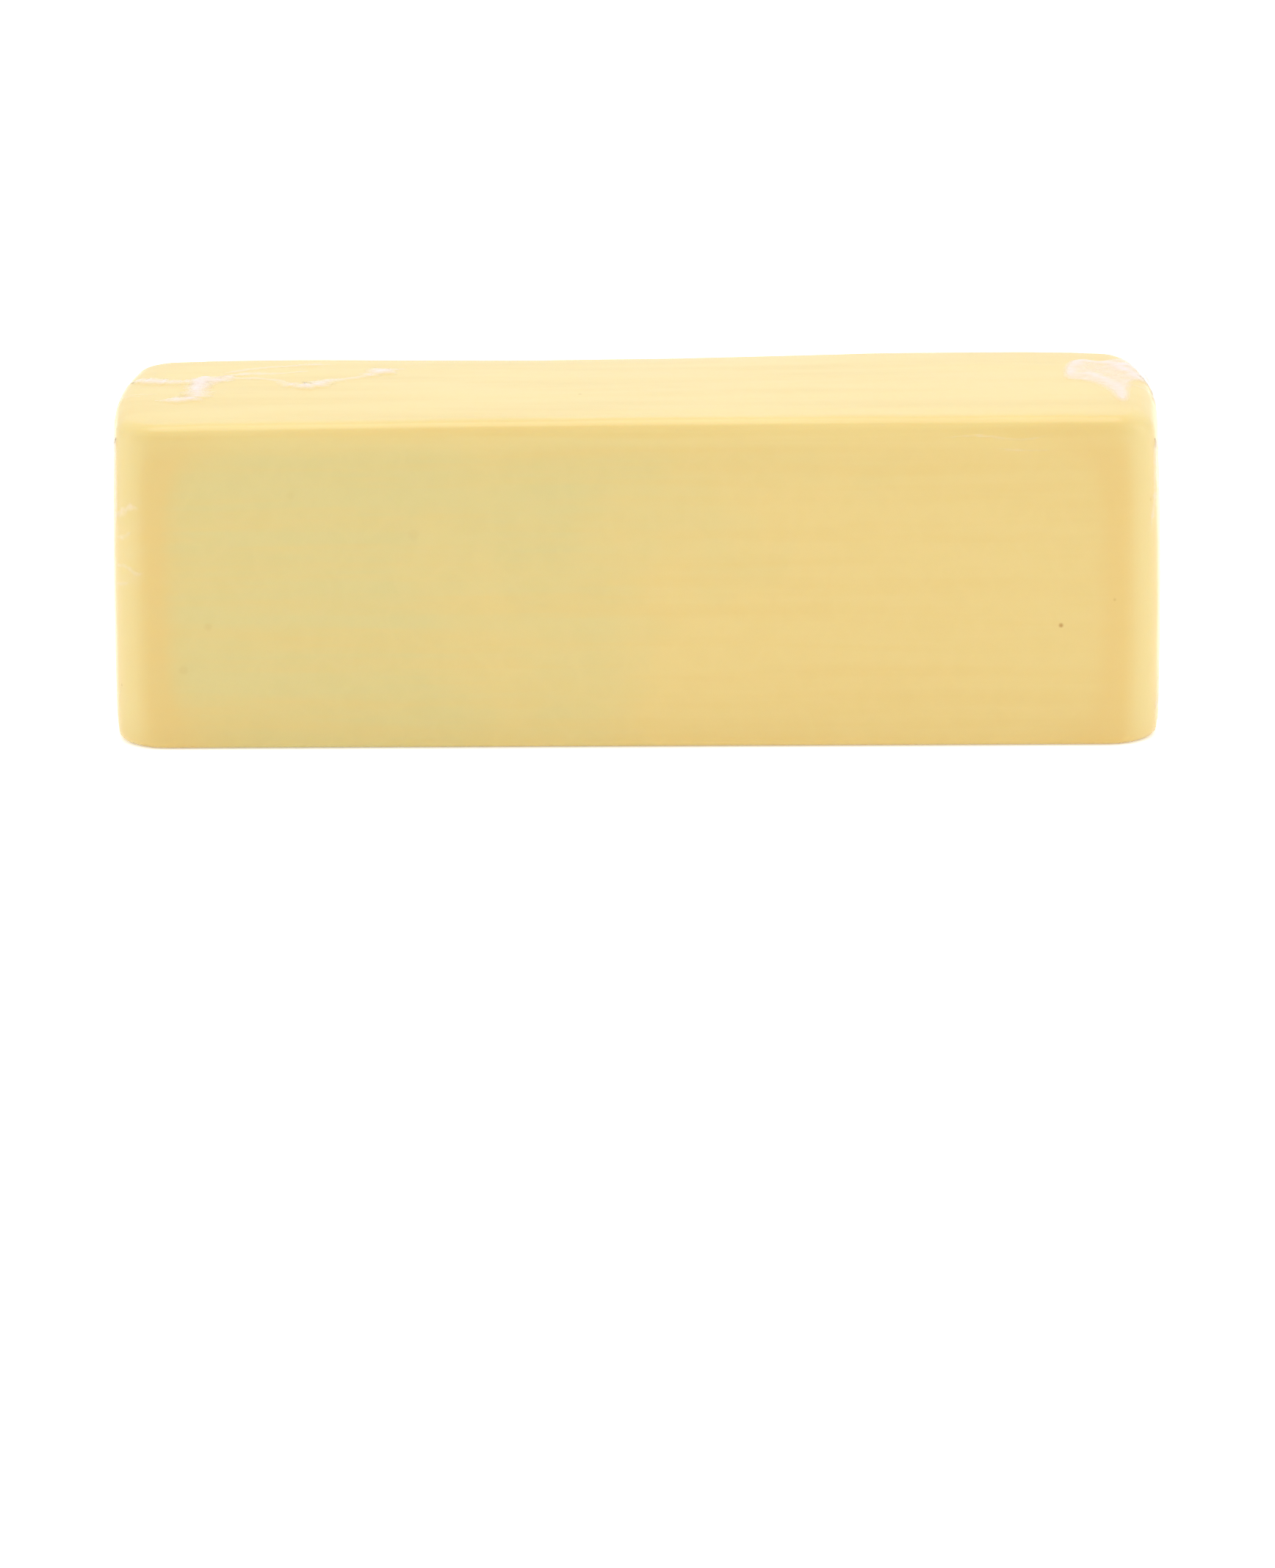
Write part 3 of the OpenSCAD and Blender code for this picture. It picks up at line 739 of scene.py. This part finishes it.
def seam_creases(end, side, count):
    """Fine creases that run from a seam out over its end face, and a few round the edge above it."""
    routes = []
    for i in range(count):
        z = 10 + (TOP - 24) * (i + dice.uniform(0.1, 0.9)) / count
        way = 1 if i % 2 else -1
        reach = dice.uniform(8, 30)
        slope = dice.uniform(-0.45, 0.45)
        y = 11 + way * dice.uniform(2, 5)
        strength = dice.uniform(0.5, 1.1)
        routes.append([(end, y, z, strength), (end, y + way * reach * 0.5, z + slope * reach * 0.6, strength),
                       (end, y + way * reach, z + slope * reach, strength * 0.4)])
    for i in range(count // 4):
        y = 12 + (9 + dice.uniform(0, 12)) * (1 if i % 2 else -1)
        turn = dice.uniform(-0.3, 0.3)
        routes.append([(end, y, TOP - dice.uniform(14, 26), 0.6), (end, y + 4 * turn, TOP - 7, 0.9),
                       (end - side * dice.uniform(6, 14), y + 14 * turn, TOP, 0.5)])
    return routes


SEAM_ROUTES = [seam_route(LEFT, -1, 0.8), seam_route(RIGHT, 1, -0.7)]
EDGE_ROUTES = [
    # faint creases under the front top edge
    [(82, FRONT, 86, 0.2), (92, FRONT, 86.5, 0.5), (104, FRONT, 85.5, 0.4), (112, FRONT, 86.5, 0.2)],
    [(96, FRONT, 83, 0.2), (104, FRONT, 82.5, 0.4), (112, FRONT, 82.5, 0.2)],
    # small tucks round the upright edge at the front of the left end
    [(LEFT, FRONT + 9, 63.5, 0.5), (LEFT + 2, FRONT + 3, 65.5, 1.2), (LEFT + 6, FRONT, 67.5, 1.0),
     (LEFT + 9, FRONT, 67.0, 0.5)],
    [(LEFT, FRONT + 7, 58.0, 0.4), (LEFT + 2, FRONT + 3, 58.5, 0.8), (LEFT + 5, FRONT, 60.5, 0.6)],
    [(LEFT, FRONT + 8, 50.0, 0.4), (LEFT + 3, FRONT + 2, 50.5, 0.9), (LEFT + 8, FRONT, 49.0, 0.7),
     (LEFT + 11, FRONT, 49.5, 0.3)],
    [(LEFT, FRONT + 8, 45.0, 0.4), (LEFT + 2, FRONT + 3, 45.5, 0.7), (LEFT + 4, FRONT, 46.5, 0.4)],
]
CREASE_STRIPS = seam_creases(LEFT, -1, 16) + seam_creases(RIGHT, 1, 16) + EDGE_ROUTES + FANS
seam_pieces = []
for name, routes, changes in (
        ("film_fine_creases", CREASE_STRIPS, {
            "Width": 2.2 * MM, "Height": 0.25 * MM, "Gather": 0.17, "Crinkle depth": 0.1 * MM}),
        ("film_seam_sheet", SEAM_ROUTES, {
            "Width": 9.0 * MM, "Height": 0.3 * MM, "Gather": 0.22, "Crinkle depth": 0.15 * MM}),
        ("film_seam_weld", SEAM_ROUTES, {
            "Width": 2.0 * MM, "Height": 0.8 * MM, "Gather": 0.5, "Crinkle pitch": 1.2 * MM})):
    seam_lines = lay("seam lines", routes)
    seam_pieces.append(grow(name, seam_lines, gathered, {**STRIP_SIZES, **changes}))
    drop(seam_lines)

# %% [markdown]
# ## The ear
# A corner of the bag stuck out past the block as a flat triangle of double film, and was folded over on
# to the top. Its outline is drawn as points, rounded into a smooth curve, and filled with an even net of
# triangles. The upper layer lies on the skin, with soft ridges along its folds and a corner that stands
# loose; the lower layer closes it underneath. Along the folds the film is milky, between them it stays
# half clear, and towards its border it thins out. The knot of the pleat is made in the same way.

# %% Outline of the ear and of the film beside it
EAR_OUTLINE = [
    (118.0, 2.5), (118.2, 15.0), (120.3, 25.5), (124.0, 29.5), (129.0, 27.5), (132.5, 31.0), (138.0, 33.5),
    (144.0, 29.0), (149.0, 22.0), (152.0, 12.0), (149.5, 0.0), (145.5, -10.0), (143.0, -7.0), (143.2, 2.0),
    (141.0, 4.0), (137.0, -1.0), (135.5, -10.0), (134.6, -20.0), (133.0, -26.0), (130.8, -24.0),
    (129.0, -14.0), (126.6, -6.5), (122.6, -0.5)]
EAR_FOLDS = [
    [(119.4, 7.0), (119.6, 16.0), (121.8, 24.5), (124.5, 27.6), (129.0, 26.0), (133.5, 22.5), (138.0, 19.0),
     (143.0, 15.5), (150.0, 12.0)],
    [(125.0, 9.0), (129.0, 1.0), (131.5, -8.0), (132.6, -22.0)],
    [(133.0, 22.0), (136.5, 12.0), (139.0, 6.0)]]
KNOT_OUTLINE = [
    (-122.6, -4.0), (-123.6, 5.0), (-123.6, 13.0), (-121.0, 18.0), (-117.0, 17.0), (-114.6, 18.5),
    (-115.0, 13.5), (-111.0, 11.0), (-115.0, 7.5), (-118.8, -1.0)]
KNOT_FOLDS = [
    [(-121.6, -2.0), (-121.2, 6.0), (-119.6, 15.0)],
    [(-122.6, 10.0), (-117.6, 11.0), (-112.6, 11.5)]]
print("the ear has", len(EAR_FOLDS), "folds and the knot", len(KNOT_FOLDS))

# %% Smooth outlines and distances
def rounded(outline, step):
    """Points every step along a smooth closed curve through an outline."""
    spots = [Vector(spot) for spot in outline]
    count = len(spots)
    loop = []
    for i in range(count):
        a, b, c, d = (spots[(i + k - 1) % count] for k in range(4))
        pieces = max(int((c - b).length / step), 2)
        for j in range(pieces):
            t = j / pieces
            loop.append(0.5 * (2 * b + (c - a) * t + (2 * a - 5 * b + 4 * c - d) * t * t
                               + (3 * b - a - 3 * c + d) * t ** 3))
    return loop


def inside(spot, loop):
    """Whether a point lies in a closed loop."""
    found = False
    for a, b in zip(loop, loop[1:] + loop[:1]):
        if (a.y > spot.y) != (b.y > spot.y) and spot.x < (b.x - a.x) * (spot.y - a.y) / (b.y - a.y) + a.x:
            found = not found
    return found


def to_border(spot, loop):
    """Distance from a point to a closed loop's points."""
    return min((spot - other).length for other in loop)


def to_folds(spot, folds):
    """Distance from a point to the nearest of some folds, each a chain of points."""
    best = 1e9
    for fold in folds:
        for a, b in zip(fold, fold[1:]):
            a, b = Vector(a), Vector(b)
            share = min(max((spot - a).dot(b - a) / (b - a).length_squared, 0.0), 1.0)
            best = min(best, (spot - a - (b - a) * share).length)
    return best


# %% An even net over an outline
NET = 0.7  # mm between the points of the net


def netted(loop):
    """Points of an even net inside a closed loop, the border as pairs of points, and the triangles."""
    low = [min(p[k] for p in loop) for k in (0, 1)]
    high = [max(p[k] for p in loop) for k in (0, 1)]
    net = list(loop)
    row = 0
    y = low[1]
    while y < high[1]:
        x = low[0] + (row % 2) * NET / 2
        while x < high[0]:
            spot = Vector((x, y))
            if inside(spot, loop) and to_border(spot, loop) > NET * 0.6:
                net.append(spot)
            x += NET
        y += NET * 0.87
        row += 1
    border = [(i, (i + 1) % len(loop)) for i in range(len(loop))]
    spots, _, faces, *_ = delaunay_2d_cdt(net, border, [], 1, 1e-5)
    return spots, border, faces


# %% Bending down over the ends
BEND = 7.0  # mm, radius of the bend from the top to an end


def wrapped(x, y):
    """Place and outward way on the skin of a spot of a flat sheet that bends down over the ends."""
    side = math.copysign(1.0, x)
    over = abs(x) - (RIGHT - BEND)
    quarter = BEND * math.pi / 2
    if over <= 0:
        guess = (x, y, TOP)
    elif over < quarter:
        turn = over / BEND
        guess = (side * (RIGHT - BEND + BEND * math.sin(turn)), y, TOP - BEND + BEND * math.cos(turn))
    else:
        guess = (side * RIGHT, y, TOP - BEND - (over - quarter))
    place, normal, _, _ = skin_surface.find_nearest(Vector(guess) * MM)
    return place / MM, normal


# %% Layers of a flap
BORDER = 1.8  # mm over which a flap thins out to its border
PRESSED = 0.1  # mm that the lower layer is pressed into the skin, so that no gap shows
LAYER = 0.05  # mm, least thickness of a layer
LOOSE_AT = (143.0, 22.0)  # the ear's loose corner
LOOSE_SPREAD = (7.0, 11.0)
WAVES = 9


def flap(
        name, outline, folds, fold_height, fold_width, middle, loose, gather_fold, gather_middle, seed):
    """A closed double layer over an outline, with raised folds, soft waves and a loose outer corner."""
    loop = rounded(outline, NET)
    spots, border, faces = netted(loop)
    toss = np.random.default_rng(seed)
    waves = [(toss.uniform(-1, 1), toss.uniform(-1, 1), toss.uniform(0, 6.28), toss.uniform(0.8, 2.2))
             for _ in range(WAVES)]
    shape = bmesh.new()
    layers = []
    shares = []
    for layer in (1, 0):
        verts = []
        for spot in spots:
            inward = min(to_border(spot, loop) / BORDER, 1.0)
            ridge = math.exp(-(to_folds(spot, folds) / fold_width) ** 2)
            wave = sum(
                math.sin(w[0] * spot.x * w[3] + w[1] * spot.y * w[3] + w[2]) for w in waves) / WAVES
            place, normal = wrapped(spot.x, spot.y)
            away = math.exp(
                -((spot.x - LOOSE_AT[0]) / LOOSE_SPREAD[0]) ** 2
                - ((spot.y - LOOSE_AT[1]) / LOOSE_SPREAD[1]) ** 2)
            top = middle * (1 + wave) + fold_height * ridge * (1 + 0.5 * wave) + loose * away
            height = -PRESSED + (LAYER + max(top, LAYER) * inward ** 0.5 if layer else 0.0)
            verts.append(shape.verts.new((place + normal * height) * MM))
            share = gather_middle * (1 + 0.25 * wave) + (gather_fold - gather_middle) * ridge
            shares.append(max(0.0, share) * (0.15 + 0.85 * inward) if layer else 0.0)
        layers.append(verts)
    upper, lower = layers
    for a, b, c in faces:
        if (spots[b] - spots[a]).cross(spots[c] - spots[a]) < 0:
            a, c = c, a
        shape.faces.new([upper[k] for k in (a, b, c)])
        shape.faces.new([lower[k] for k in (c, b, a)])
    for a, b in border:
        shape.faces.new([upper[b], upper[a], lower[a], lower[b]])
    for face in shape.faces:
        face.smooth = True
    for a, b in border:
        shape.edges.get((upper[a], upper[b])).smooth = False
        shape.edges.get((lower[a], lower[b])).smooth = False
    bmesh.ops.recalc_face_normals(shape, faces=shape.faces)
    mesh = bpy.data.meshes.new(name)
    shape.to_mesh(mesh)
    shape.free()
    gather = mesh.attributes.new("gather", "FLOAT", "POINT")
    gather.data.foreach_set("value", shares)
    mesh.materials.append(film)
    piece = bpy.data.objects.new(name, mesh)
    bpy.context.scene.collection.objects.link(piece)
    print(name, "has", len(shares), "points")
    return piece


# %% The ear and the knot of the pleat
ear = flap(
    "film_ear_flap", EAR_OUTLINE, EAR_FOLDS, fold_height=0.16, fold_width=2.0, middle=0.12,
    loose=1.0, gather_fold=0.85, gather_middle=0.55, seed=11)
knot = flap(
    "film_pleat_knot", KNOT_OUTLINE, KNOT_FOLDS, fold_height=0.3, fold_width=1.7, middle=0.15,
    loose=0.0, gather_fold=0.8, gather_middle=0.5, seed=13)

# %% [markdown]
# ## Camera
# The block is seen from a little above and from far away through a long lens, so its sides stay almost
# parallel. The camera looks at a spot under the block, which leaves the block in the upper part of a
# tall frame.

# %% Camera
CAMERA_LENS = 149.1  # mm of focal length
CAMERA_DISTANCE = 1.8
CAMERA_ELEVATION = math.radians(13.85)
CAMERA_AZIMUTH = math.radians(0.61)
CAMERA_ROLL = math.radians(-0.42)
AIM = Vector((-0.00044, 0.0, -0.023))
BLOCK_MIDDLE = Vector((0.0, 0.0, HEIGHT / 2))

back = Vector((
    math.sin(CAMERA_AZIMUTH) * math.cos(CAMERA_ELEVATION),
    -math.cos(CAMERA_AZIMUTH) * math.cos(CAMERA_ELEVATION),
    math.sin(CAMERA_ELEVATION)))
camera = bpy.data.objects.new("camera", bpy.data.cameras.new("camera"))
bpy.context.scene.collection.objects.link(camera)
camera.data.lens = CAMERA_LENS
camera.data.clip_start = 0.05
camera.data.clip_end = 50
camera.location = BLOCK_MIDDLE + back * CAMERA_DISTANCE
look = (AIM - camera.location).to_track_quat("-Z", "Y").to_matrix().to_4x4()
camera.matrix_world = Matrix.Translation(camera.location) @ look @ Matrix.Rotation(CAMERA_ROLL, 4, "Z")
bpy.context.scene.camera = camera
print("camera at", [round(c, 3) for c in camera.location])

# %% [markdown]
# ## Studio
# The light is high-key: a white room all round, a wide soft box overhead and a small one at each side.
# The floor is a white acrylic table that is softly lit from below, so that nothing on it casts a hard
# shadow. Nothing dark stands near, so the gloss of the film shows as paleness at low angles and not as
# streaks.

# %% Floor and room
FLOOR_SIZE = 12.0
FLOOR_GLOW = 0.32
ROOM_LIGHT = 1.0


def make_floor():
    """Material: white acrylic table top, softly lit from below."""
    # opal acrylic spreads the light inside it: the eye sees an even white without gloss
    material = bpy.data.materials.new("lit white acrylic table")
    material.use_nodes = True
    shader = material.node_tree.nodes["Principled BSDF"]
    shader.inputs["Base Color"].default_value = linear("F7F7F5")
    shader.inputs["Roughness"].default_value = 0.9
    shader.inputs["Specular IOR Level"].default_value = 0.1
    shader.inputs["Emission Color"].default_value = linear("FFFFFF")
    shader.inputs["Emission Strength"].default_value = FLOOR_GLOW
    return material


floor_mesh = bpy.data.meshes.new("floor")
reach = FLOOR_SIZE / 2
floor_mesh.from_pydata(
    [(-reach, -reach, 0), (reach, -reach, 0), (reach, reach, 0), (-reach, reach, 0)], [], [(0, 1, 2, 3)])
floor_mesh.materials.append(make_floor())
floor = bpy.data.objects.new("floor", floor_mesh)
bpy.context.scene.collection.objects.link(floor)

world = bpy.data.worlds.new("white room")
world.use_nodes = True
world.node_tree.nodes["Background"].inputs["Color"].default_value = linear("FFFFFF")
world.node_tree.nodes["Background"].inputs["Strength"].default_value = ROOM_LIGHT
bpy.context.scene.world = world
print("floor", FLOOR_SIZE, "m wide in a white room")

# %% Lights
SOFT_BOXES = (  # name, place in metres, size in metres and watts
    ("overhead soft box", (0.0, 0.0, 1.6), 1.6, 13.4),
    ("side soft box", (-1.3, 0.0, 0.3), 0.7, 1.0),
    ("side soft box", (1.3, 0.0, 0.3), 0.7, 1.4))


def soft_box(name, place, size, watts):
    """A round soft light that looks at the block."""
    light = bpy.data.lights.new(name, "AREA")
    light.shape = "DISK"
    light.size = size
    light.energy = watts
    lamp = bpy.data.objects.new(name, light)
    lamp.location = place
    lamp.rotation_euler = (BLOCK_MIDDLE - Vector(place)).to_track_quat("-Z", "Y").to_euler()
    lamp.visible_camera = False
    bpy.context.scene.collection.objects.link(lamp)


for box in SOFT_BOXES:
    soft_box(*box)

# the plain sRGB view keeps the hex colours above as they are written
bpy.context.scene.view_settings.view_transform = "Standard"
bpy.context.scene.view_settings.look = "None"
print(len(SOFT_BOXES), "soft boxes")

# %% [markdown]
# ## Fastening to the frame
# Each piece rides on the model's one body. The cheese and the film's skin together stand for the plain
# block, and the folds stand for their plain solids. Film this thin passes the light on to what lies under
# it, so its pieces throw no shadow.

# %% Fasten
for piece, node, slot in (
        (cheese, "cheese_block", "cheddar"), (skin, "cheese_block", "film"),
        *((piece, "cheese_block", "film") for piece in seam_pieces),
        (pleat, "film_pleat", "film"), (knot, "film_pleat", "film"), (ear, "film_ear", "film")):
    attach(piece, "root")  # the piece moves with the model's one body
    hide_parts(node)  # the CAD node is hidden, and this piece stands for it
    if slot == "film":  # no shadow, and no light taken from the cheese below
        piece.visible_shadow = False
        piece.visible_diffuse = False
